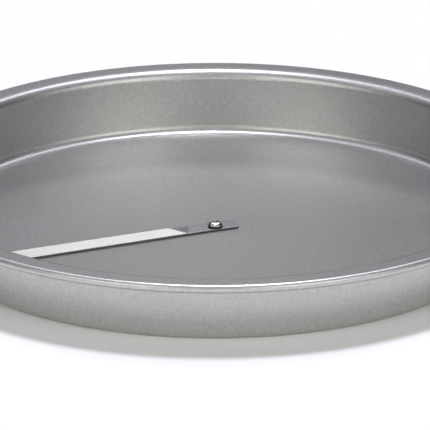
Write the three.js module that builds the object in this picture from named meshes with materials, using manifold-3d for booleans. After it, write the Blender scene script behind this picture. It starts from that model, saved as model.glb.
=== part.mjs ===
// Round butter cake pan with a release blade that turns on a rivet in the middle of its base.
// Millimetres. Z is the pan's axis and points up, the table is z = 0, and the front of the pan is -Y.

import * as THREE from 'three';
import { mergeVertices } from 'three/addons/utils/BufferGeometryUtils.js';
import Module from 'manifold-3d';

const { degToRad, clamp, lerp } = THREE.MathUtils;

// Pan, pressed from one steel sheet
const RIM_DIAMETER = 240;
const PAN_HEIGHT = 25;
const SHEET = 0.6;
const WALL_FLARE = degToRad(5.6);
const CORNER_RADIUS = 3.8;
const SHOULDER_RADIUS = 4;
const LEDGE_WIDTH = 5;
const ROLL_DIAMETER = 3.2;
const ROLL_SWEEP = degToRad(290);
const CROWN_MARGIN = 2;
const FOOT_WIDTH = 20;

// Rivet and its washer
const HEAD_DIAMETER = 5.6;
const HEAD_HEIGHT = 1.65;
const HEAD_EDGE = 0.4;
const SHANK_DIAMETER = 2.6;
const TAIL_DIAMETER = 4.6;
const TAIL_HEIGHT = 0.3;
const WASHER_DIAMETER = 7.5;
const WASHER_THICKNESS = 0.3;

// Release blade, a bent strip of bright steel
const BLADE_THICKNESS = 0.5;
const BLADE_BEARING = degToRad(202.2);
const BLADE_FRONT = 3.7;
const TANG_LENGTH = 8.1;
const TANG_WIDTH = 7.2;
const BLADE_END_WIDTH = 8;
const BLADE_CORNER_RADIUS = 1;
const BLADE_TILT = degToRad(4);
const TILT_START = 12;
const FOLD_LEVEL_SIDE = 2.8;
const FOLD_TILTED_SIDE = 5.7;
const BEND_MARGIN = 1;
const LIP_LENGTH = 9;
const LIP_LEAN = degToRad(20);

// Clearances
const RUN_GAP = 0.25;
const SEAT_GAP = 0.05;
const SHANK_GAP = 0.2;
const WIRE_GAP = 0.2;
const TABLE_GAP = 0.1;

// Fineness of the facets
const ROUND_STEPS = 72;
const SMALL_ROUND_STEPS = 24;
const WIRE_SIDES = 8;
const CURVE_STEP = 0.8;
const BLADE_STEP = 3;
const BLADE_LINE_PIECES = 4;
const BLADE_COLUMNS = 4;

// Levels at the rivet, from the table up. The base is crowned just enough for the washer and the tail.
const tailTop = TABLE_GAP + TAIL_HEIGHT;
const washerBottom = tailTop + SEAT_GAP;
const washerTop = washerBottom + WASHER_THICKNESS;
const crownHeight = washerTop + SEAT_GAP;
const tangBottom = crownHeight + SHEET + RUN_GAP;
const headSeat = tangBottom + BLADE_THICKNESS + RUN_GAP;

const holeRadius = SHANK_DIAMETER / 2 + SHANK_GAP;

// Bends of the pan in its half section, x outward and y up
const rollRadius = ROLL_DIAMETER / 2;
const roll = new THREE.Vector2(RIM_DIAMETER / 2 - rollRadius, PAN_HEIGHT - rollRadius);
const shoulder = new THREE.Vector2(roll.x - LEDGE_WIDTH, PAN_HEIGHT - SHOULDER_RADIUS);
const corner = bendCentre(CORNER_RADIUS, CORNER_RADIUS - SHEET / 2, SHOULDER_RADIUS - SHEET / 2);

// The crown slopes from a flat top at the rivet down to the flat foot that the pan stands on.
const crownTopRadius = WASHER_DIAMETER / 2 + CROWN_MARGIN;
const footRadius = corner.x - FOOT_WIDTH;

// The flat blade needs room at its edges inside the round wall, and where the wall's facets cut in.
const bladeReach = Math.max(BLADE_FRONT, BLADE_END_WIDTH - BLADE_FRONT);
const chordRoom = corner.x - Math.sqrt(corner.x ** 2 - bladeReach ** 2);
const facetRoom = shoulder.x * (1 - Math.cos(Math.PI / ROUND_STEPS));
const rimGap = RUN_GAP + chordRoom + facetRoom;

// Bends of the blade, measured at the middle of its thickness
const bladeHalf = BLADE_THICKNESS / 2;
const tangLevel = tangBottom + bladeHalf;
const runLevel = SHEET + RUN_GAP + bladeHalf;
const bendRadius = CORNER_RADIUS + BEND_MARGIN;
const riserRadius = SHOULDER_RADIUS + rimGap + bladeHalf;
const lipRadius = rollRadius + rimGap + bladeHalf;
const bend = bendCentre(runLevel + bendRadius, bendRadius, riserRadius);
const tiltEnd = bend.x - FOLD_LEVEL_SIDE;

const wasm = await Module();
wasm.setup();

// Centre of a bend at height y whose flared wall runs on into an arc about the shoulder.
function bendCentre(y, radius, shoulderArc) {
  const rise = shoulder.y - y;
  const run = (radius + shoulderArc + rise * Math.sin(WALL_FLARE)) / Math.cos(WALL_FLARE);
  return new THREE.Vector2(shoulder.x - run, y);
}

// Places along a line, each with its left-hand normal and its distance from the start.
function walk(line, straightStep, curveStep, fewest) {
  const stops = [];
  let start = 0;
  for (const curve of line.curves) {
    const length = curve.getLength();
    const step = curve.isLineCurve ? straightStep : curveStep;
    const pieces = Math.max(fewest, Math.ceil(length / step));
    const first = stops.length === 0 ? 0 : 1;
    for (let i = first; i <= pieces; i += 1) {
      const share = i / pieces;
      const tangent = curve.getTangentAt(share);
      stops.push({
        point: curve.getPointAt(share),
        normal: new THREE.Vector2(-tangent.y, tangent.x),
        distance: start + share * length,
      });
    }
    start += length;
  }
  return stops;
}

// Turns a half section about the pan's axis.
function revolve(points, steps) {
  const geometry = new THREE.LatheGeometry(points, steps);
  geometry.rotateX(Math.PI / 2);
  return geometry;
}

function toSolid(geometry) {
  const bare = geometry.clone();
  bare.deleteAttribute('normal');
  bare.deleteAttribute('uv');
  const merged = mergeVertices(bare);
  return new wasm.Manifold(new wasm.Mesh({
    numProp: 3,
    vertProperties: merged.attributes.position.array,
    triVerts: Uint32Array.from(merged.index.array),
  }));
}

function toGeometry(solid) {
  const mesh = solid.getMesh();
  const geometry = new THREE.BufferGeometry();
  geometry.setAttribute('position', new THREE.BufferAttribute(mesh.vertProperties, 3));
  geometry.setIndex(new THREE.BufferAttribute(mesh.triVerts, 1));
  geometry.computeVertexNormals();
  return geometry;
}

// Middle line of the sheet: crowned base, foot, corner, flared wall, shoulder, ledge and rolled edge.
function sheetLine() {
  const rollArc = rollRadius - SHEET / 2;
  const line = new THREE.Path();
  line.moveTo(holeRadius, crownHeight + SHEET / 2);
  line.lineTo(crownTopRadius, crownHeight + SHEET / 2);
  line.lineTo(footRadius, SHEET / 2);
  line.absarc(corner.x, corner.y, CORNER_RADIUS - SHEET / 2, -Math.PI / 2, -WALL_FLARE, false);
  line.absarc(shoulder.x, shoulder.y, SHOULDER_RADIUS - SHEET / 2, Math.PI - WALL_FLARE, Math.PI / 2, true);
  line.absarc(roll.x, roll.y, rollArc, Math.PI / 2, 0, true);
  line.absarc(roll.x, roll.y, rollArc, 0, Math.PI / 2 - ROLL_SWEEP, true);
  return line;
}

// The sheet has one thickness everywhere, so each face is the middle line moved by half of it.
function panShell() {
  const stops = walk(sheetLine(), Infinity, CURVE_STEP, 1);
  const face = (offset) => stops.map((stop) => stop.point.clone().addScaledVector(stop.normal, offset));
  const underside = face(-SHEET / 2);
  const topside = face(SHEET / 2).reverse();
  return revolve([...underside, ...topside, underside[0]], ROUND_STEPS);
}

function rimWire() {
  const ring = new THREE.TorusGeometry(roll.x, rollRadius - SHEET - WIRE_GAP, WIRE_SIDES, ROUND_STEPS);
  ring.translate(0, 0, roll.y);
  return ring;
}

// Middle line of the blade: tang, down the crown, over the foot, up the wall, over the rim, and a lip.
function bladeLine() {
  const lipWay = new THREE.Vector2(Math.sin(LIP_LEAN), -Math.cos(LIP_LEAN));
  const line = new THREE.Path();
  line.moveTo(-TANG_LENGTH, tangLevel);
  line.lineTo(-TANG_LENGTH + BLADE_CORNER_RADIUS, tangLevel);
  line.lineTo(crownTopRadius, tangLevel);
  line.lineTo(footRadius, runLevel);
  line.absarc(bend.x, bend.y, bendRadius, -Math.PI / 2, -WALL_FLARE, false);
  line.absarc(shoulder.x, shoulder.y, riserRadius, Math.PI - WALL_FLARE, Math.PI / 2, true);
  line.absarc(roll.x, roll.y, lipRadius, Math.PI / 2, LIP_LEAN, true);
  const lipStart = line.currentPoint.clone();
  for (const reach of [LIP_LENGTH - BLADE_CORNER_RADIUS, LIP_LENGTH]) {
    const stop = lipStart.clone().addScaledVector(lipWay, reach);
    line.lineTo(stop.x, stop.y);
  }
  return line;
}

// How much a rounded corner takes off each side of the blade, this far from its end.
function cornerInset(fromEnd) {
  const depth = Math.max(0, BLADE_CORNER_RADIUS - fromEnd);
  return BLADE_CORNER_RADIUS - Math.sqrt(BLADE_CORNER_RADIUS ** 2 - depth ** 2);
}

// The tilt lifts the back of the blade. It comes in and goes out between two slanting folds that meet
// at the front edge, so each of the two is a flat triangle.
function tiltRise(x, fromFront, width) {
  const across = Math.max(fromFront / width, Number.EPSILON);
  const levelSide = FOLD_LEVEL_SIDE * across;
  const span = levelSide + FOLD_TILTED_SIDE * across;
  const comingIn = clamp((x - TILT_START + levelSide) / span, 0, 1);
  const goingOut = clamp((tiltEnd - x + levelSide) / span, 0, 1);
  return Math.tan(BLADE_TILT) * fromFront * Math.min(comingIn, goingOut);
}

// A straight bar bent along the blade's middle line. Its front edge stays straight, its back edge flares.
function bladeStrip() {
  const stops = walk(bladeLine(), BLADE_STEP, CURVE_STEP, BLADE_LINE_PIECES);
  const pieces = stops.length - 1;
  const total = stops[pieces].distance;
  const bar = new THREE.BoxGeometry(1, 1, 1, pieces, BLADE_COLUMNS, 1);
  const place = bar.attributes.position;
  for (let i = 0; i < place.count; i += 1) {
    const { point, normal, distance } = stops[Math.round((place.getX(i) + 0.5) * pieces)];
    const flare = clamp((point.x - TILT_START) / (bend.x - TILT_START), 0, 1);
    const width = lerp(TANG_WIDTH, BLADE_END_WIDTH, flare);
    const inset = cornerInset(Math.min(distance, total - distance));
    const fromFront = lerp(inset, width - inset, 0.5 - place.getY(i));
    const lift = place.getZ(i) * BLADE_THICKNESS + tiltRise(point.x, fromFront, width);
    place.setXYZ(i, point.x + normal.x * lift, BLADE_FRONT - fromFront, point.y + normal.y * lift);
  }
  return bar;
}

function releaseBlade() {
  const hole = new THREE.CylinderGeometry(holeRadius, holeRadius, 2 * headSeat, SMALL_ROUND_STEPS);
  hole.rotateX(Math.PI / 2);
  hole.translate(0, 0, tangLevel);
  return toGeometry(toSolid(bladeStrip()).subtract(toSolid(hole)));
}

// Domed head with an upright edge, shank, and a flat tail closed on the washer.
function pivotRivet() {
  const headRadius = HEAD_DIAMETER / 2;
  const domeHeight = HEAD_HEIGHT - HEAD_EDGE;
  const domeRadius = (headRadius ** 2 + domeHeight ** 2) / (2 * domeHeight);
  const domeCentre = headSeat + HEAD_HEIGHT - domeRadius;
  const outline = new THREE.Path();
  outline.moveTo(0, TABLE_GAP);
  outline.lineTo(TAIL_DIAMETER / 2, TABLE_GAP);
  outline.lineTo(TAIL_DIAMETER / 2, tailTop);
  outline.lineTo(SHANK_DIAMETER / 2, tailTop);
  outline.lineTo(SHANK_DIAMETER / 2, headSeat);
  outline.lineTo(headRadius, headSeat);
  outline.lineTo(headRadius, headSeat + HEAD_EDGE);
  outline.absarc(0, domeCentre, domeRadius, Math.acos(headRadius / domeRadius), Math.PI / 2, false);
  const points = walk(outline, Infinity, CURVE_STEP, 1).map((stop) => stop.point);
  points.at(-1).x = 0;
  return revolve(points, SMALL_ROUND_STEPS);
}

function rivetWasher() {
  const outer = WASHER_DIAMETER / 2;
  const section = [[holeRadius, washerBottom], [outer, washerBottom], [outer, washerTop], [holeRadius, washerTop]];
  const points = [...section, section[0]].map(([x, y]) => new THREE.Vector2(x, y));
  return revolve(points, SMALL_ROUND_STEPS);
}

const coatedSteel = new THREE.MeshStandardMaterial({ color: 0x98989a, metalness: 0.7, roughness: 0.42 });
const brightSteel = new THREE.MeshStandardMaterial({ color: 0xd9dadb, metalness: 1, roughness: 0.18 });
const plainSteel = new THREE.MeshStandardMaterial({ color: 0xa9a9a8, metalness: 1, roughness: 0.35 });

function piece(name, geometry, material) {
  const mesh = new THREE.Mesh(geometry, material);
  mesh.name = name;
  return mesh;
}

const blade = new THREE.Group();
blade.rotation.z = BLADE_BEARING;
blade.add(piece('release_blade', releaseBlade(), brightSteel));

const pan = new THREE.Group();
pan.add(
  piece('pan_shell', panShell(), coatedSteel),
  piece('rim_wire', rimWire(), plainSteel),
  piece('pivot_rivet', pivotRivet(), brightSteel),
  piece('rivet_washer', rivetWasher(), plainSteel),
  blade,
);

export default pan;
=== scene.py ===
"""Looks of a round butter cake pan with a release blade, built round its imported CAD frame.

Metres, Z up. The table is z = 0, the pan's axis is Z, and the front of the pan is -Y.
"""

import math

import bpy
import numpy as np
from bpy.props import FloatProperty, FloatVectorProperty, IntProperty, PointerProperty
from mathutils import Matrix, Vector


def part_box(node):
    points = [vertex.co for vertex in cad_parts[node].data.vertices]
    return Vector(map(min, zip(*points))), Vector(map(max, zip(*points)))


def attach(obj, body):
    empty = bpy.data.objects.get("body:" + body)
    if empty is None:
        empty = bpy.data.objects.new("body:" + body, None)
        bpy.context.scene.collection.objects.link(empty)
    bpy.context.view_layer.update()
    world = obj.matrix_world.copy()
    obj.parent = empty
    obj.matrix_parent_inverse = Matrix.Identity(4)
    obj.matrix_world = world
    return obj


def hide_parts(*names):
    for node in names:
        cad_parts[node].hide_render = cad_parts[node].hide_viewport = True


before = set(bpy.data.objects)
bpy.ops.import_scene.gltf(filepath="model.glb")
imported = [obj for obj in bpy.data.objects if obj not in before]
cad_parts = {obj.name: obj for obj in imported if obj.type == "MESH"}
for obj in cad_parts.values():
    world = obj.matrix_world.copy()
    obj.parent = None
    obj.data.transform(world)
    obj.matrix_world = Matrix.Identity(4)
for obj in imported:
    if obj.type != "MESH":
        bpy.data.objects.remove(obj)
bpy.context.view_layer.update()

bl_info = {
    "name": "Butter Cake Pan",
    "version": (1, 0, 0),
    "blender": (4, 5, 0),
    "location": "3D View > Sidebar > Cake Pan",
    "description": "Presses, bends and rivets a cake pan with a release blade, and sets its studio",
    "category": "Add Mesh",
}

MM = 0.001
PAN_LOW, PAN_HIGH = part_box("pan_shell")
RIVET_LOW, RIVET_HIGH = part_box("pivot_rivet")
WASHER_LOW, WASHER_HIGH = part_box("rivet_washer")
WIRE_LOW, WIRE_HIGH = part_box("rim_wire")

# How finely bends, straight runs and sections are drawn.
BEND_STEP = math.radians(6)
STRAIGHT_POINTS = 13
ACROSS_POINTS = 25
TANG_POINTS = 24
CROWN_POINTS = 200
FOOT_POINTS = 60
EDGE_POINTS = 4
SEAT_POINTS = 6
# Points nearer to each other than this are one point.
SAME_POINT = 1e-9
# Least share of the strip's width, so that no fold is divided by nothing at the front edge.
LEAST_SHARE = 1e-6
# The dome ends this angle before the axis, in radians, and a tiny flat cap closes it.
DOME_END = 0.004
# Faces that turn further than this keep a sharp edge between them.
SHARP_TURN = math.radians(35)
# The punch stands out this far above and below the strip.
PUNCH_ROOM = 1 * MM

STRIP_MAP = "Length and girth"
# Noise runs from 0 to 1 and lies mostly between these.
NOISE_LOW, NOISE_HIGH = 0.3, 0.7
# A Mix node's sockets by number, because its numbers and its colours share their names.
MIX_SHARE, NUMBER_A, NUMBER_B, COLOUR_A, COLOUR_B = 0, 2, 3, 6, 7
MIXED_NUMBER, MIXED_COLOUR = 0, 2

# Half the floor's width, the points along one side, and how far it lies under the pan.
FLOOR_REACH, FLOOR_POINTS, FLOOR_DROP = 4, 9, 0.02 * MM
# Bearings of the camera's side and of the far side, in degrees from +X.
FRONT, BACK = -90, 90
# Camera: sensor in millimetres, how far it sees in metres, and its place beside the axis.
SENSOR_WIDTH = 36
VIEW_DEPTH = 20
EYE_ASIDE = -0.1 * MM


def linear(colour):
    """Linear RGB of an sRGB hex colour."""
    parts = np.array([int(colour[i:i + 2], 16) for i in (1, 3, 5)]) / 255
    return tuple(np.where(parts <= 0.04045, parts / 12.92, ((parts + 0.055) / 1.055) ** 2.4))


def length(name, description, default):
    """Property for a length in metres."""
    return FloatProperty(
        name=name, description=description, default=default, min=0, unit="LENGTH", precision=5)


def angle(name, description, degrees):
    """Property for an angle, given in degrees."""
    return FloatProperty(
        name=name, description=description, default=math.radians(degrees), unit="ROTATION")


def tint(name, description, colour):
    """Property for a colour, given as sRGB hex."""
    return FloatVectorProperty(
        name=name, description=description, default=linear(colour), min=0, max=1, subtype="COLOR")


def share(name, description, default):
    """Property for a share from 0 to 1."""
    return FloatProperty(
        name=name, description=description, default=default, min=0, max=1, subtype="FACTOR")


def level(name, description, default):
    """Property for the strength of a light."""
    return FloatProperty(name=name, description=description, default=default, min=0)


def facets(description, default, least):
    """Property for the number of facets in one turn."""
    return IntProperty(name="Facets round", description=description, default=default, min=least)


class PanSizes(bpy.types.PropertyGroup):
    """Half section of the pressed pan."""

    rim_diameter: length("Rim diameter", "Across the rolled edge", PAN_HIGH.x - PAN_LOW.x)
    height: length("Height", "From the table to the top of the ledge", PAN_HIGH.z)
    sheet: length("Sheet", "Thickness of the coated sheet", 0.6 * MM)
    flare: angle("Wall flare", "Lean of the wall out of upright", 5.6)
    corner_radius: length("Corner radius", "Outside radius between base and wall", 3.8 * MM)
    shoulder_radius: length("Shoulder radius", "Top face's radius from wall to ledge", 4 * MM)
    ledge_width: length("Ledge width", "Flat between the shoulder and the roll", 5 * MM)
    roll_diameter: length("Roll diameter", "Outside of the rolled edge", 3.2 * MM)
    roll_sweep: angle("Roll sweep", "How far the edge is rolled round the wire", 290)
    crown_margin: length("Crown margin", "Flat top of the crowned base outside the washer", 2 * MM)
    foot_width: length("Foot width", "Flat ring that the pan stands on, outside the crown", 20 * MM)
    turns: facets("Facets of the pan in one turn", 288, 24)


class RivetSizes(bpy.types.PropertyGroup):
    """Rivet, washer and the room they need."""

    head_height: length("Head height", "Rise of the head, edge and dome", 1.65 * MM)
    head_edge: length("Head edge", "Upright edge under the dome", 0.4 * MM)
    edge_break: length("Edge break", "Rounding of the head's edge", 0.08 * MM)
    shank_diameter: length("Shank", "Across the shank", 2.6 * MM)
    tail_diameter: length("Tail", "Across the closed tail", 4.6 * MM)
    tail_height: length("Tail height", "Thickness of the closed tail", 0.3 * MM)
    shank_gap: length("Shank gap", "Room between the shank and its holes", 0.2 * MM)
    seat_gap: length("Seat gap", "Room between seated faces", 0.05 * MM)
    run_gap: length("Running gap", "Room between sliding faces", 0.25 * MM)
    turns: facets("Facets of the rivet in one turn", 72, 12)


class BladeSizes(bpy.types.PropertyGroup):
    """Bent strip of the release blade."""

    thickness: length("Thickness", "Thickness of the strip", 0.5 * MM)
    bearing: angle("Bearing", "Where the blade points, from +X towards +Y", 202.2)
    front: length("Front", "From the rivet's axis to the front edge", 3.7 * MM)
    tang_length: length("Tang length", "From the rivet to the short end", 8.1 * MM)
    tang_width: length("Tang width", "Width at the rivet", 7.2 * MM)
    end_width: length("End width", "Width at the wall and over the rim", 8 * MM)
    corner_radius: length("Corner radius", "Rounding of the strip's corners in plan", 1 * MM)
    edge_radius: length("Edge radius", "Rounding of the strip's long edges", 0.1 * MM)
    tilt: angle("Tilt", "Lift of the back edge about the front edge", 4)
    tilt_start: length("Tilt start", "From the rivet to where the folds meet in front", 12 * MM)
    fold_level_side: length("Fold, level side", "From there to the first fold behind", 2.8 * MM)
    fold_tilted_side: length("Fold, tilted side", "From there to the second fold behind", 5.7 * MM)
    bend_margin: length("Bend margin", "Added to the pan's corner for the blade's bend", 1 * MM)
    rim_room: length("Rim room", "Room between the blade and the rim", 0.446 * MM)
    lip_length: length("Lip length", "Straight end outside the rim", 9 * MM)
    lip_lean: angle("Lip lean", "Lean of the end away from upright", 20)


class Finishes(bpy.types.PropertyGroup):
    """Colours and sheen of the surfaces."""

    coat: tint("Coat", "Silver-grey non-stick coat", "#cac9c7")
    coat_fleck: tint("Coat fleck", "Darker fleck in the coat", "#b7b6b4")
    coat_roughness: share("Coat roughness", "Satin sheen of the coat", 0.37)
    coat_metal: share("Coat metal", "Share of the coat that is metal flake", 0.9)
    strip: tint("Strip", "Polished face of the blade", "#d6d7d8")
    strip_roughness: share("Strip roughness", "Polish of the blade", 0.16)
    # Cut edge: dull sheared steel, darkened partly as painted shade. The dark band under the
    # rivet's dome is painted shade in this colour too.
    cut: tint("Cut edge", "Sheared edge of the blade", "#77787a")
    rivet: tint("Rivet", "Nickelled head of the rivet", "#cfcfcd")
    plain: tint("Plain steel", "Wire and washer", "#a7a7a4")
    floor: tint("Floor", "Paper sweep under the pan", "#fafaf9")


class StageSizes(bpy.types.PropertyGroup):
    """Camera and lamps."""

    eye_distance: length("Eye distance", "Camera from the pan's axis, along the floor", 1755 * MM)
    eye_height: length("Eye height", "Camera above the table", 662 * MM)
    eye_pitch: angle("Eye pitch", "How far the camera looks down", 20.485)
    lens: FloatProperty(name="Lens", description="Focal length in millimetres", default=427, min=1)
    room_light: level("Room light", "Even light from all round", 0.01)
    top_light: level("Top light", "Radiance of the soft box overhead", 47)
    right_bank_light: level("Right bank light", "Radiance of the tall box behind on the right", 3)
    left_bank_light: level("Left bank light", "Radiance of the tall box behind on the left", 2.3)
    high_right_light: level("High right light", "Radiance of the panel high on the right", 0.48)
    high_left_light: level("High left light", "Radiance of the panel high on the left", 0.85)
    high_front_light: level("High front light", "Radiance of the box high over the camera", 0.5)
    right_light: level("Right light", "Radiance of the soft box right of the camera", 1.5)
    left_light: level("Left light", "Radiance of the soft box left of the camera", 1.46)
    inner_light: level("Inner light", "Radiance of the two soft boxes beside the camera", 0.5)
    far_right_light: level("Far right light", "Radiance of the soft box far right", 0.5)
    far_left_light: level("Far left light", "Radiance of the soft box far left", 0.4)
    low_front_light: level("Low front light", "Radiance of the low card under the camera", 1.5)
    back_light: level("Back light", "Radiance of the upper card behind the pan", 1.15)
    low_back_light: level("Low back light", "Radiance of the lower card behind the pan", 0.3)
    floor_lift: share("Floor lift", "Glow of the floor for the eye and for reflections", 0.034)
    front_tint: tint("Front tint", "Lamps in front and the upper card behind", "#fffefc")
    back_tint: tint("Back tint", "Other lamps overhead and behind", "#f1f1ff")


class CakePan(bpy.types.PropertyGroup):
    """Everything that a user would change."""

    pan: PointerProperty(type=PanSizes)
    rivet: PointerProperty(type=RivetSizes)
    blade: PointerProperty(type=BladeSizes)
    finish: PointerProperty(type=Finishes)
    stage: PointerProperty(type=StageSizes)


def straight(start, end, count=STRAIGHT_POINTS):
    """Straight run: the start plus a share of the way. The shares close up towards both ends, so
    that the shading of a bend does not spread along it. Returns points and left-hand normals."""
    start, way = np.asarray(start, float), np.subtract(end, start)
    shares = (1 - np.cos(np.linspace(0, np.pi, count))) / 2
    normal = np.array((-way[1], way[0])) / np.hypot(*way)
    return start + np.outer(shares, way), np.tile(normal, (count, 1))


def bend(centre, radius, start, end):
    """Arc from one angle to another: the centre plus the radius times (cos, sin) of the angle."""
    count = 1 + math.ceil(abs(end - start) / BEND_STEP)
    turn = np.linspace(start, end, count)
    spokes = np.column_stack((np.cos(turn), np.sin(turn)))
    return centre + radius * spokes, -np.sign(end - start) * spokes


def join(*runs):
    """One line from runs in order. A straight run closes each gap, a shared point is kept once."""
    whole = [runs[0]]
    for run in runs[1:]:
        end, start = whole[-1][0][-1], run[0][0]
        if not np.allclose(end, start, atol=SAME_POINT):
            whole.append(straight(end, start))
        whole.append(run)
    points = np.concatenate([whole[0][0]] + [run[0][1:] for run in whole[1:]])
    normals = np.concatenate([whole[0][1]] + [run[1][1:] for run in whole[1:]])
    return points, normals


def rivet_levels(sizes):
    """Levels at the rivet from the table up: under the crown, under the tang, seat of the head."""
    crown = WASHER_HIGH.z + sizes.rivet.seat_gap
    tang = crown + sizes.pan.sheet + sizes.rivet.run_gap
    seat = tang + sizes.blade.thickness + sizes.rivet.run_gap
    return crown, tang, seat


def crown_top(sizes):
    """Radius of the crown's flat top."""
    return WASHER_HIGH.x + sizes.pan.crown_margin


def rim_centres(pan):
    """Centres of the roll and of the shoulder, outward and up."""
    roll = np.array((pan.rim_diameter, 2 * pan.height)) / 2 - pan.roll_diameter / 2
    shoulder = np.array((roll[0] - pan.ledge_width, pan.height - pan.shoulder_radius))
    return roll, shoulder


def bend_centre(pan, height, radius, shoulder_arc):
    """Centre of a bend at that height whose flared wall runs on into an arc about the shoulder."""
    shoulder = rim_centres(pan)[1]
    rise = shoulder[1] - height
    run = (radius + shoulder_arc + rise * math.sin(pan.flare)) / math.cos(pan.flare)
    return np.array((shoulder[0] - run, height))


def corner_centre(pan):
    """Centre of the corner between base and wall."""
    half = pan.sheet / 2
    return bend_centre(pan, pan.corner_radius, pan.corner_radius - half, pan.shoulder_radius - half)


def sheet_outline(sizes):
    """Closed half section of the sheet: its middle line moved half a thickness to each side.
    The line is crowned base, foot, corner, flared wall, shoulder, ledge and roll."""
    pan = sizes.pan
    half = pan.sheet / 2
    crown = rivet_levels(sizes)[0] + half
    hole = sizes.rivet.shank_diameter / 2 + sizes.rivet.shank_gap
    roll, shoulder = rim_centres(pan)
    corner = corner_centre(pan)
    points, normals = join(
        straight((hole, crown), (crown_top(sizes), crown)),
        straight((crown_top(sizes), crown), (corner[0] - pan.foot_width, half)),
        bend(corner, pan.corner_radius - half, -math.pi / 2, -pan.flare),
        bend(shoulder, pan.shoulder_radius - half, math.pi - pan.flare, math.pi / 2),
        bend(roll, pan.roll_diameter / 2 - half, math.pi / 2, math.pi / 2 - pan.roll_sweep),
    )
    return np.concatenate((points - half * normals, (points + half * normals)[::-1]))


def revolve(outline, turns):
    """Surface of revolution: (r, z) of the outline at angle a goes to (r cos a, r sin a, z)."""
    turn = np.linspace(0, 2 * np.pi, turns, endpoint=False)
    radius, height = outline[:, 0, None], outline[:, 1, None]
    place = radius * np.cos(turn), radius * np.sin(turn), height
    return np.stack(np.broadcast_arrays(*place), axis=-1)


def blade_bend(sizes):
    """Centre and radius of the blade's bend up the wall, and the radii of its arcs over the rim."""
    pan, blade = sizes.pan, sizes.blade
    half = blade.thickness / 2
    radius = pan.corner_radius + blade.bend_margin
    riser = pan.shoulder_radius + blade.rim_room + half
    lip = pan.roll_diameter / 2 + blade.rim_room + half
    run = pan.sheet + sizes.rivet.run_gap + half
    return bend_centre(pan, run + radius, radius, riser), radius, riser, lip


def blade_line(sizes):
    """Middle line of the blade: tang, down the crown, foot, up the wall, over the rim, lip."""
    pan, blade = sizes.pan, sizes.blade
    centre, radius, riser, lip = blade_bend(sizes)
    roll, shoulder = rim_centres(pan)
    tang = rivet_levels(sizes)[1] + blade.thickness / 2
    run = centre[1] - radius
    top = crown_top(sizes)
    foot = corner_centre(pan)[0] - pan.foot_width
    hook = bend(roll, lip, math.pi / 2, blade.lip_lean)
    way = np.array((math.sin(blade.lip_lean), -math.cos(blade.lip_lean)))
    lip_start = hook[0][-1]
    lip_corner = lip_start + (blade.lip_length - blade.corner_radius) * way
    return join(
        straight((-blade.tang_length, tang), (blade.corner_radius - blade.tang_length, tang)),
        straight((blade.corner_radius - blade.tang_length, tang), (top, tang), TANG_POINTS),
        straight((top, tang), (foot, run), CROWN_POINTS),
        straight((foot, run), (centre[0], run), FOOT_POINTS),
        bend(centre, radius, -math.pi / 2, -pan.flare),
        bend(shoulder, riser, math.pi - pan.flare, math.pi / 2),
        hook,
        straight(lip_start, lip_corner),
        straight(lip_corner, lip_start + blade.lip_length * way),
    )


def strip_section(blade):
    """Section of the strip, a rectangle with rounded edges, from the front over the top and back
    below. Three values a point: share of the way across, part of the edge's radius further out,
    and height."""
    across = np.linspace(0, 1, ACROSS_POINTS)
    half, edge = blade.thickness / 2, blade.edge_radius
    steps = np.radians((0, 30, 60))
    back_up, back_down = np.pi / 3 - steps, -steps
    front_down, front_up = -2 * np.pi / 3 - steps, np.pi - steps

    def rounded(side, turn, rise):
        height = rise * (half - edge) + edge * np.sin(turn)
        return np.column_stack((np.full(len(turn), side), np.cos(turn), height))

    level_run = np.zeros(ACROSS_POINTS)
    return np.concatenate((
        np.column_stack((across, level_run, level_run + half)),
        rounded(1, back_up, 1),
        rounded(1, back_down, -1),
        np.column_stack((across[::-1], level_run, level_run - half)),
        rounded(0, front_down, -1),
        rounded(0, front_up, 1),
    ))


def blade_grid(sizes):
    """Strip carried along the blade's line. Its front edge stays straight and its back edge
    flares. The tilt lifts a point by tan(tilt) times its distance from the front edge. It comes in
    and goes out between two slanting folds that meet at the front edge, so that each pair of folds
    holds a flat triangle. Returns the points, the distance along the line and the distance round
    the section."""
    blade = sizes.blade
    points, normals = blade_line(sizes)
    centre = blade_bend(sizes)[0]
    along = np.concatenate(((0,), np.cumsum(np.linalg.norm(np.diff(points, axis=0), axis=1))))
    out = points[:, 0, None]
    corner = blade.corner_radius
    end_depth = np.clip(corner - np.minimum(along, along[-1] - along), 0, None)
    inset = corner - np.sqrt(np.clip(corner ** 2 - end_depth ** 2, 0, None))
    flare = np.clip((points[:, 0] - blade.tilt_start) / (centre[0] - blade.tilt_start), 0, 1)
    width = blade.tang_width + flare * (blade.end_width - blade.tang_width)
    across, further, height = strip_section(blade).T
    first = inset + blade.edge_radius
    flat = width - 2 * first
    from_front = first[:, None] + flat[:, None] * across + blade.edge_radius * further
    share_across = np.maximum(from_front / width[:, None], LEAST_SHARE)
    level_side = blade.fold_level_side * share_across
    span = level_side + blade.fold_tilted_side * share_across
    coming_in = np.clip((out - blade.tilt_start + level_side) / span, 0, 1)
    going_out = np.clip((centre[0] - blade.fold_level_side - out + level_side) / span, 0, 1)
    lift = height + math.tan(blade.tilt) * from_front * np.minimum(coming_in, going_out)
    reach = out + normals[:, 0, None] * lift
    side = blade.front - from_front
    rise = points[:, 1, None] + normals[:, 1, None] * lift
    cos, sin = math.cos(blade.bearing), math.sin(blade.bearing)
    grid = np.stack((reach * cos - side * sin, reach * sin + side * cos, rise), axis=-1)
    loop = grid[len(grid) // 2]
    girth = np.cumsum(np.linalg.norm(np.roll(loop, -1, axis=0) - loop, axis=1))
    return grid, along, np.concatenate(((0,), girth))


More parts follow.
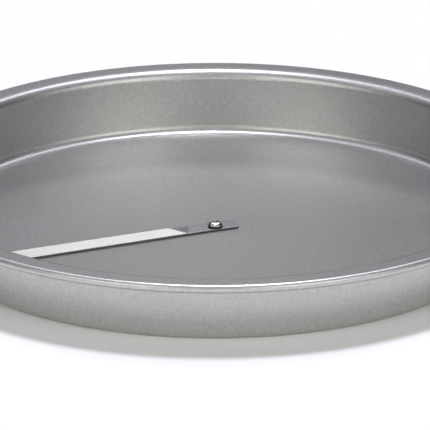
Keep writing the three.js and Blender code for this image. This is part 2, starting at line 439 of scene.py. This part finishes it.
def skin(name, grid, ring=False, along=None, girth=None):
    """Mesh object over a grid of points whose columns run round. Its rows close on themselves in a
    ring, and otherwise its first and last row get a flat cap. Distances along and round make its
    UV map, in metres."""
    rows, columns = grid.shape[:2]
    starts = np.arange(rows if ring else rows - 1)
    row, column = np.meshgrid(starts, np.arange(columns), indexing="ij")
    corner_rows = np.stack((row, row, row + 1, row + 1), axis=-1).reshape(-1, 4)
    corner_columns = np.stack((column, column + 1, column + 1, column), axis=-1).reshape(-1, 4)
    faces = (corner_rows % rows * columns + corner_columns % columns).tolist()
    last_row = np.arange(columns) + (rows - 1) * columns
    if not ring:
        faces += [np.arange(columns)[::-1].tolist(), last_row.tolist()]
    mesh = bpy.data.meshes.new(name)
    mesh.from_pydata(grid.reshape(-1, 3), [], faces)
    if along is not None:
        caps = [[along[0]] * columns, girth[:-1][::-1]], [[along[-1]] * columns, girth[:-1]]
        corners = np.stack((along[corner_rows], girth[corner_columns]), axis=-1).reshape(-1, 2)
        flat = np.concatenate([corners] + [np.transpose(cap) for cap in caps])
        mesh.uv_layers.new(name=STRIP_MAP).data.foreach_set("uv", flat.ravel())
    piece = bpy.data.objects.new(name, mesh)
    bpy.context.scene.collection.objects.link(piece)
    return piece


def smooth(piece):
    """Smooth shading that stays sharp at folds and cut edges."""
    piece.data.shade_smooth()
    piece.data.set_sharp_from_angle(angle=SHARP_TURN)


def add(tree, kind, inputs=None, **settings):
    """Adds one node with its settings. An input takes a value, or an output to be linked to."""
    made = tree.nodes.new(kind)
    for name, value in settings.items():
        setattr(made, name, value)
    for key, value in (inputs or {}).items():
        if isinstance(value, bpy.types.NodeSocket):
            tree.links.new(value, made.inputs[key])
        else:
            made.inputs[key].default_value = value
    return made


def blank(name):
    """Empty material and its node tree."""
    material = bpy.data.materials.new(name)
    material.use_nodes = True
    material.node_tree.nodes.clear()
    return material, material.node_tree


def opaque(colour, part=1):
    """Colour for a node's socket: that part of a linear colour, with full cover."""
    return (*(part * value for value in colour), 1)


def sprayed_coat(finish):
    # Silver-grey non-stick coat with metal flake, sprayed on and baked. It gives a broad satin
    # sheen with a faint fleck, and the skin is a little uneven, so that long reflections are not
    # ruled lines.
    material, tree = blank("Non-stick coat, sprayed and baked")
    place = add(tree, "ShaderNodeTexCoord").outputs["Object"]
    # Flakes are about 0.05 mm and would not show, so they are drawn about twenty times as coarse.
    fleck = add(tree, "ShaderNodeTexNoise", {
        "Vector": place, "Scale": 1 / (1.1 * MM), "Detail": 1}).outputs["Fac"]
    # The wet coat flows into waves of about 2 mm.
    waves = add(tree, "ShaderNodeTexNoise", {
        "Vector": place, "Scale": 1 / (2 * MM), "Detail": 1}).outputs["Fac"]
    # The spray lays it a little thicker and thinner over about 25 mm.
    drift = add(tree, "ShaderNodeTexNoise", {
        "Vector": place, "Scale": 1 / (25 * MM), "Detail": 2}).outputs["Fac"]
    flake_share = add(tree, "ShaderNodeMapRange", {
        "Value": fleck, "From Min": 0.2, "From Max": 0.8}).outputs["Result"]
    colour = add(tree, "ShaderNodeMix", {
        MIX_SHARE: flake_share, COLOUR_A: opaque(finish.coat_fleck), COLOUR_B: opaque(finish.coat),
    }, data_type="RGBA").outputs[MIXED_COLOUR]
    roughness = add(tree, "ShaderNodeMapRange", {
        "Value": drift, "From Min": NOISE_LOW, "From Max": NOISE_HIGH,
        "To Min": finish.coat_roughness - 0.02, "To Max": finish.coat_roughness + 0.02,
    }).outputs["Result"]
    grain = add(tree, "ShaderNodeBump", {
        "Height": fleck, "Strength": 0.5, "Distance": 0.004 * MM}).outputs["Normal"]
    uneven = add(tree, "ShaderNodeBump", {
        "Height": waves, "Normal": grain, "Strength": 0.5, "Distance": 0.006 * MM,
    }).outputs["Normal"]
    shader = add(tree, "ShaderNodeBsdfPrincipled", {
        "Base Color": colour, "Metallic": finish.coat_metal, "Roughness": roughness,
        "Normal": uneven})
    add(tree, "ShaderNodeOutputMaterial", {"Surface": shader.outputs["BSDF"]})
    return material


def polished_strip(finish):
    # Bright steel strip, cold rolled and polished along its length. It mirrors its surroundings
    # with a slight blur, drawn out across fine lengthwise lines.
    material, tree = blank("Bright steel strip, rolled and polished")
    length_girth = add(tree, "ShaderNodeUVMap", uv_map=STRIP_MAP).outputs["UV"]
    # Polishing lines are hundredths of a millimetre wide and would not show, so they are drawn
    # 0.25 mm wide and 15 mm long.
    stretched = add(tree, "ShaderNodeMapping", {
        "Vector": length_girth, "Scale": (1 / (15 * MM), 1 / (0.25 * MM), 1)}).outputs["Vector"]
    lines = add(tree, "ShaderNodeTexNoise", {
        "Vector": stretched, "Scale": 1, "Detail": 3}).outputs["Fac"]
    colour = add(tree, "ShaderNodeMix", {
        MIX_SHARE: lines, COLOUR_A: opaque(finish.strip, 0.93), COLOUR_B: opaque(finish.strip),
    }, data_type="RGBA").outputs[MIXED_COLOUR]
    roughness = add(tree, "ShaderNodeMapRange", {
        "Value": lines, "From Min": NOISE_LOW, "From Max": NOISE_HIGH,
        "To Min": finish.strip_roughness - 0.03, "To Max": finish.strip_roughness + 0.03,
    }).outputs["Result"]
    bump = add(tree, "ShaderNodeBump", {
        "Height": lines, "Strength": 0.4, "Distance": 0.001 * MM}).outputs["Normal"]
    shader = add(tree, "ShaderNodeBsdfPrincipled", {
        "Base Color": colour, "Metallic": 1, "Roughness": roughness, "Normal": bump})
    add(tree, "ShaderNodeOutputMaterial", {"Surface": shader.outputs["BSDF"]})
    return material


def sheared_edge_with_shade(finish):
    # Edge of the strip as the shears left it: dull and torn in short steps. Its colour is darker
    # than the steel partly as painted shade, for the dark line where the edge meets the base.
    material, tree = blank("Steel edge, sheared")
    length_girth = add(tree, "ShaderNodeUVMap", uv_map=STRIP_MAP).outputs["UV"]
    # Shear marks cross the edge about three to a millimetre.
    marks = add(tree, "ShaderNodeTexNoise", {
        "Vector": length_girth, "Scale": 1 / (0.35 * MM), "Detail": 2}).outputs["Fac"]
    colour = add(tree, "ShaderNodeMix", {
        MIX_SHARE: marks, COLOUR_A: opaque(finish.cut, 0.7), COLOUR_B: opaque(finish.cut),
    }, data_type="RGBA").outputs[MIXED_COLOUR]
    bump = add(tree, "ShaderNodeBump", {
        "Height": marks, "Strength": 0.5, "Distance": 0.01 * MM}).outputs["Normal"]
    shader = add(tree, "ShaderNodeBsdfPrincipled", {
        "Base Color": colour, "Metallic": 1, "Roughness": 0.45, "Normal": bump})
    add(tree, "ShaderNodeOutputMaterial", {"Surface": shader.outputs["BSDF"]})
    return material


def nickelled_head(finish, dome_start):
    # Steel rivet, cold headed and nickel plated: a bright dome with the soft dimples of the
    # heading tool. The upright edge and the shank below the dome are rougher, and their colour is
    # darkened there as painted shade.
    material, tree = blank("Nickelled steel, cold headed")
    place = add(tree, "ShaderNodeTexCoord").outputs["Object"]
    # Dimples about 0.8 mm across.
    dimples = add(tree, "ShaderNodeTexNoise", {
        "Vector": place, "Scale": 1 / (0.8 * MM), "Detail": 1}).outputs["Fac"]
    polish = add(tree, "ShaderNodeMapRange", {
        "Value": dimples, "From Min": NOISE_LOW, "From Max": NOISE_HIGH,
        "To Min": 0.16, "To Max": 0.24}).outputs["Result"]
    nickel = add(tree, "ShaderNodeMix", {
        MIX_SHARE: dimples, COLOUR_A: opaque(finish.rivet, 0.9), COLOUR_B: opaque(finish.rivet),
    }, data_type="RGBA").outputs[MIXED_COLOUR]
    height = add(tree, "ShaderNodeSeparateXYZ", {"Vector": place}).outputs["Z"]
    # The painted shade fades into the nickel over the last 0.08 mm below the dome.
    above_painted_shade = add(tree, "ShaderNodeMapRange", {
        "Value": height, "From Min": dome_start - 0.08 * MM, "From Max": dome_start,
    }).outputs["Result"]
    # Painted shade: below the dome the colour is the dark cut-edge colour.
    colour = add(tree, "ShaderNodeMix", {
        MIX_SHARE: above_painted_shade, COLOUR_A: opaque(finish.cut), COLOUR_B: nickel,
    }, data_type="RGBA").outputs[MIXED_COLOUR]
    roughness = add(tree, "ShaderNodeMix", {
        MIX_SHARE: above_painted_shade, NUMBER_A: 0.5, NUMBER_B: polish}).outputs[MIXED_NUMBER]
    bump = add(tree, "ShaderNodeBump", {
        "Height": dimples, "Strength": 0.5, "Distance": 0.01 * MM}).outputs["Normal"]
    shader = add(tree, "ShaderNodeBsdfPrincipled", {
        "Base Color": colour, "Metallic": 1, "Roughness": roughness, "Normal": bump})
    add(tree, "ShaderNodeOutputMaterial", {"Surface": shader.outputs["BSDF"]})
    return material


def plain_steel(finish):
    # Plain low-carbon steel, drawn as wire or stamped as a washer: grey, satin, with a mill-scale
    # mottle.
    material, tree = blank("Plain steel, drawn and stamped")
    place = add(tree, "ShaderNodeTexCoord").outputs["Object"]
    # The mottle is about 1.5 mm across.
    mottle = add(tree, "ShaderNodeTexNoise", {
        "Vector": place, "Scale": 1 / (1.5 * MM), "Detail": 3}).outputs["Fac"]
    colour = add(tree, "ShaderNodeMix", {
        MIX_SHARE: mottle, COLOUR_A: opaque(finish.plain, 0.75), COLOUR_B: opaque(finish.plain),
    }, data_type="RGBA").outputs[MIXED_COLOUR]
    roughness = add(tree, "ShaderNodeMapRange", {
        "Value": mottle, "From Min": NOISE_LOW, "From Max": NOISE_HIGH,
        "To Min": 0.32, "To Max": 0.42}).outputs["Result"]
    shader = add(tree, "ShaderNodeBsdfPrincipled", {
        "Base Color": colour, "Metallic": 1, "Roughness": roughness})
    add(tree, "ShaderNodeOutputMaterial", {"Surface": shader.outputs["BSDF"]})
    return material


def paper_floor(finish, stage):
    # White paper, matt. It glows a little for the eye and for reflections only, so that it reads
    # white where it is lit and still takes the pan's shadow. Seen from below it is clear.
    material, tree = blank("White paper sweep, matt")
    paper = add(tree, "ShaderNodeBsdfDiffuse", {"Color": opaque(finish.floor)})
    path = add(tree, "ShaderNodeLightPath")
    seen = add(tree, "ShaderNodeMath", {
        0: path.outputs["Is Camera Ray"], 1: path.outputs["Is Glossy Ray"]}, operation="MAXIMUM")
    shown = add(tree, "ShaderNodeMath", {
        0: seen.outputs["Value"], 1: path.outputs["Is Transmission Ray"]}, operation="MAXIMUM")
    amount = add(tree, "ShaderNodeMath", {
        0: shown.outputs["Value"], 1: stage.floor_lift}, operation="MULTIPLY")
    glow = add(tree, "ShaderNodeEmission", {"Strength": amount.outputs["Value"]})
    lit = add(tree, "ShaderNodeAddShader", {0: paper.outputs["BSDF"], 1: glow.outputs["Emission"]})
    below = add(tree, "ShaderNodeNewGeometry").outputs["Backfacing"]
    clear = add(tree, "ShaderNodeBsdfTransparent")
    faced = add(tree, "ShaderNodeMixShader", {
        0: below, 1: lit.outputs["Shader"], 2: clear.outputs["BSDF"]})
    add(tree, "ShaderNodeOutputMaterial", {"Surface": faced.outputs["Shader"]})
    return material


def fit(piece, body, node, slot, *materials):
    """Shades a finished piece, gives it its materials, and puts it on its body for a CAD node."""
    smooth(piece)
    for material in materials:
        piece.data.materials.append(material)
    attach(piece, body)
    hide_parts(node)


class CAKEPAN_OT_press_pan(bpy.types.Operator):
    """Press the pan from one sheet: crowned base, flared wall, ledge and rolled edge"""

    bl_idname = "cake_pan.press_pan"
    bl_label = "Press Pan"

    def execute(self, context):
        sizes = context.scene.cake_pan
        pan = skin("pressed_pan", revolve(sheet_outline(sizes), sizes.pan.turns), ring=True)
        fit(pan, "pan", "pan_shell", "coated_sheet", sprayed_coat(sizes.finish))
        return {"FINISHED"}


class CAKEPAN_OT_roll_in_wire(bpy.types.Operator):
    """Lay the stiffening wire in the rolled edge"""

    bl_idname = "cake_pan.roll_in_wire"
    bl_label = "Roll In Wire"

    def execute(self, context):
        sizes = context.scene.cake_pan
        roll = rim_centres(sizes.pan)[0]
        thickness = WIRE_HIGH.z - WIRE_LOW.z
        section = bend(roll, thickness / 2, 0, 2 * math.pi)[0][:-1]
        wire = skin("rolled_in_wire", revolve(section, sizes.pan.turns), ring=True)
        fit(wire, "pan", "rim_wire", "plain_steel", plain_steel(sizes.finish))
        return {"FINISHED"}


class CAKEPAN_OT_bend_blade(bpy.types.Operator):
    """Bend the release blade from a strip and punch its rivet hole"""

    bl_idname = "cake_pan.bend_blade"
    bl_label = "Bend Blade"

    def execute(self, context):
        sizes = context.scene.cake_pan
        grid, along, girth = blade_grid(sizes)
        blade = skin("release_strip", grid, along=along, girth=girth)
        # Edge faces take the sheared edge's material, whose darker colour is partly painted shade.
        on_edge = strip_section(sizes.blade)[:, 1] != 0
        edge_column = on_edge | np.roll(on_edge, -1)
        finish_of_face = np.concatenate((np.tile(edge_column, len(grid) - 1), (True, True)))
        blade.data.polygons.foreach_set("material_index", finish_of_face.astype(np.int32))
        hole = sizes.rivet.shank_diameter / 2 + sizes.rivet.shank_gap
        tang = rivet_levels(sizes)[1]
        bore = np.array((
            (hole, tang - PUNCH_ROOM), (hole, tang + sizes.blade.thickness + PUNCH_ROOM)))
        punch = skin("punch", revolve(bore, sizes.rivet.turns))
        cut = blade.modifiers.new("Rivet hole", "BOOLEAN")
        cut.object = punch
        cut.solver = "EXACT"
        graph = context.evaluated_depsgraph_get()
        punched = bpy.data.meshes.new_from_object(blade.evaluated_get(graph))
        blade.modifiers.clear()
        blade.data = punched
        bpy.data.objects.remove(punch)
        fit(blade, "blade", "release_blade", "bright_steel",
            polished_strip(sizes.finish), sheared_edge_with_shade(sizes.finish))
        return {"FINISHED"}


class CAKEPAN_OT_close_rivet(bpy.types.Operator):
    """Head the rivet, put it through the blade and the base, and close its tail"""

    bl_idname = "cake_pan.close_rivet"
    bl_label = "Close Rivet"

    def execute(self, context):
        sizes = context.scene.cake_pan
        rivet = sizes.rivet
        seat = rivet_levels(sizes)[2]
        head = (RIVET_HIGH.x - RIVET_LOW.x) / 2
        shank, tail = rivet.shank_diameter / 2, rivet.tail_diameter / 2
        tail_low, tail_top = RIVET_LOW.z, RIVET_LOW.z + rivet.tail_height
        tail_break, head_break = rivet.tail_height / 3, rivet.edge_break
        dome_start = seat + rivet.head_edge
        rise = rivet.head_height - rivet.head_edge
        dome = (head ** 2 + rise ** 2) / (2 * rise)
        dome_centre = np.array((0, seat + rivet.head_height - dome))
        dome_turn = math.acos(head / dome) + head_break / dome
        outline = join(
            straight((tail - tail_break, tail_low), (tail, tail_low + tail_break), EDGE_POINTS),
            straight((tail, tail_top), (shank, tail_top), EDGE_POINTS),
            straight((shank, seat), (head - head_break, seat), SEAT_POINTS),
            straight((head, seat + head_break), (head, dome_start - head_break), EDGE_POINTS),
            bend(dome_centre, dome, dome_turn, math.pi / 2 - DOME_END),
        )[0]
        pin = skin("domed_rivet", revolve(outline, rivet.turns))
        fit(pin, "pan", "pivot_rivet", "rivet_steel", nickelled_head(sizes.finish, dome_start))
        return {"FINISHED"}


class CAKEPAN_OT_stamp_washer(bpy.types.Operator):
    """Stamp the washer that the rivet's tail is closed on"""

    bl_idname = "cake_pan.stamp_washer"
    bl_label = "Stamp Washer"

    def execute(self, context):
        sizes = context.scene.cake_pan
        inner = sizes.rivet.shank_diameter / 2 + sizes.rivet.shank_gap
        outer, low, high = WASHER_HIGH.x, WASHER_LOW.z, WASHER_HIGH.z
        break_edge = (high - low) / 4
        outline = np.array((
            (inner, low), (outer - break_edge, low), (outer, low + break_edge), (outer, high),
            (inner, high)))
        washer = skin("tail_washer", revolve(outline, sizes.rivet.turns), ring=True)
        fit(washer, "pan", "rivet_washer", "plain_steel", plain_steel(sizes.finish))
        return {"FINISHED"}


def soft_box(name, place, size, radiance, colour):
    """Rectangular lamp of that radiance, turned to the middle of the pan."""
    lamp = bpy.data.lights.new(name, "AREA")
    lamp.shape = "RECTANGLE"
    lamp.size, lamp.size_y = size
    # An area lamp of 4 W a square metre has a radiance of 1 in the render's units.
    lamp.energy = 4 * size[0] * size[1] * radiance
    lamp.color = colour
    box = bpy.data.objects.new(name, lamp)
    box.location = place
    box.rotation_euler = (-Vector(place)).to_track_quat("-Z", "Y").to_euler()
    bpy.context.scene.collection.objects.link(box)


def round_pan(bearing, elevation, distance):
    """Place at a bearing from +X, an elevation and a distance, seen from the pan's middle."""
    turn, lift = math.radians(bearing), math.radians(elevation)
    flat = distance * math.cos(lift)
    return flat * math.cos(turn), flat * math.sin(turn), distance * math.sin(lift)


class CAKEPAN_OT_set_stage(bpy.types.Operator):
    """Lay the floor, hang the lamps and set the camera"""

    bl_idname = "cake_pan.set_stage"
    bl_label = "Set Stage"

    def execute(self, context):
        scene = context.scene
        sizes = scene.cake_pan
        stage = sizes.stage
        # Flat sheet of paper, a hair under the pan so that the two faces do not share a plane.
        edge = np.linspace(-FLOOR_REACH, FLOOR_REACH, FLOOR_POINTS)
        across, deep = np.meshgrid(edge, edge, indexing="ij")
        sheet = np.stack((across, deep, np.full_like(across, -FLOOR_DROP)), axis=-1).reshape(-1, 3)
        cells = np.arange(FLOOR_POINTS - 1)
        first = (cells[:, None] * FLOOR_POINTS + cells).ravel()
        behind = first + FLOOR_POINTS
        faces = np.column_stack((first, behind, behind + 1, first + 1))
        mesh = bpy.data.meshes.new("floor")
        mesh.from_pydata(sheet, [], faces.tolist())
        mesh.materials.append(paper_floor(sizes.finish, stage))
        floor = bpy.data.objects.new("floor", mesh)
        scene.collection.objects.link(floor)

        world = bpy.data.worlds.new("Room light")
        world.use_nodes = True
        tree = world.node_tree
        tree.nodes.clear()
        even = add(tree, "ShaderNodeBackground", {
            "Strength": stage.room_light, "Color": (1, 1, 1, 1)})
        add(tree, "ShaderNodeOutputWorld", {"Surface": even.outputs["Background"]})
        scene.world = world

        white, cool = stage.front_tint, stage.back_tint
        # Name, place, size, radiance and tint of each lamp.
        lamps = (
            ("top soft box", (0.1, 0.38, 2.36), (0.42, 0.42), stage.top_light, cool),
            ("right bank", round_pan(BACK - 36, 56, 2), (0.5, 0.9), stage.right_bank_light, cool),
            ("left bank", round_pan(BACK + 36, 56, 2), (0.5, 0.9), stage.left_bank_light, cool),
            ("high right panel", (1.1, 0.1, 1.75), (0.6, 1.4), stage.high_right_light, cool),
            ("high left panel", (-1.1, 0.1, 1.75), (0.6, 1.4), stage.high_left_light, cool),
            ("high front box", round_pan(FRONT, 60, 1.8), (1.2, 0.7),
             stage.high_front_light, white),
            ("right soft box", round_pan(FRONT + 37, 26, 1.7), (0.9, 1.1),
             stage.right_light, white),
            ("left soft box", round_pan(FRONT - 37, 26, 1.7), (0.9, 1.1),
             stage.left_light, white),
            ("right inner soft box", round_pan(FRONT + 16, 30, 1.7), (0.5, 0.7),
             stage.inner_light, white),
            ("left inner soft box", round_pan(FRONT - 16, 30, 1.7), (0.5, 0.7),
             stage.inner_light, white),
            ("far right soft box", round_pan(FRONT + 62, 24, 1.7), (0.8, 0.9),
             stage.far_right_light, white),
            ("far left soft box", round_pan(FRONT - 62, 24, 1.7), (0.8, 0.9),
             stage.far_left_light, white),
            ("low front card", round_pan(FRONT, 8, 1.7), (1.6, 0.3), stage.low_front_light, white),
            ("upper back card", round_pan(BACK, 28.5, 1.5), (0.28, 0.2), stage.back_light, white),
            ("lower back card", round_pan(BACK + 9.8, 20, 1.5), (0.56, 0.22),
             stage.low_back_light, cool),
        )
        for lamp in lamps:
            soft_box(*lamp)

        camera = bpy.data.cameras.new("eye")
        camera.lens = stage.lens
        camera.sensor_width = SENSOR_WIDTH
        camera.clip_end = VIEW_DEPTH
        eye = bpy.data.objects.new("eye", camera)
        eye.location = (EYE_ASIDE, -stage.eye_distance, stage.eye_height)
        eye.rotation_euler = (math.pi / 2 - stage.eye_pitch, 0, 0)
        scene.collection.objects.link(eye)
        scene.camera = eye
        scene.view_settings.view_transform = "Standard"
        return {"FINISHED"}


MAKING = (
    CAKEPAN_OT_press_pan,
    CAKEPAN_OT_roll_in_wire,
    CAKEPAN_OT_bend_blade,
    CAKEPAN_OT_close_rivet,
    CAKEPAN_OT_stamp_washer,
    CAKEPAN_OT_set_stage,
)


class CAKEPAN_PT_bench(bpy.types.Panel):
    """Sizes, finishes and making steps of the cake pan"""

    bl_idname = "CAKEPAN_PT_bench"
    bl_label = "Cake Pan"
    bl_space_type = "VIEW_3D"
    bl_region_type = "UI"
    bl_category = "Cake Pan"

    def draw(self, context):
        sizes = context.scene.cake_pan
        for group in (sizes.pan, sizes.rivet, sizes.blade, sizes.finish, sizes.stage):
            box = self.layout.box()
            for name in group.__annotations__:
                box.prop(group, name)
        for operator in MAKING:
            self.layout.operator(operator.bl_idname)


CLASSES = (
    PanSizes, RivetSizes, BladeSizes, Finishes, StageSizes, CakePan, *MAKING, CAKEPAN_PT_bench)


def register():
    for cls in CLASSES:
        bpy.utils.register_class(cls)
    bpy.types.Scene.cake_pan = PointerProperty(type=CakePan)


def unregister():
    del bpy.types.Scene.cake_pan
    for cls in reversed(CLASSES):
        bpy.utils.unregister_class(cls)


def main():
    register()
    bpy.ops.cake_pan.press_pan()
    bpy.ops.cake_pan.roll_in_wire()
    bpy.ops.cake_pan.bend_blade()
    bpy.ops.cake_pan.close_rivet()
    bpy.ops.cake_pan.stamp_washer()
    bpy.ops.cake_pan.set_stage()


if __name__ == "__main__":
    main()
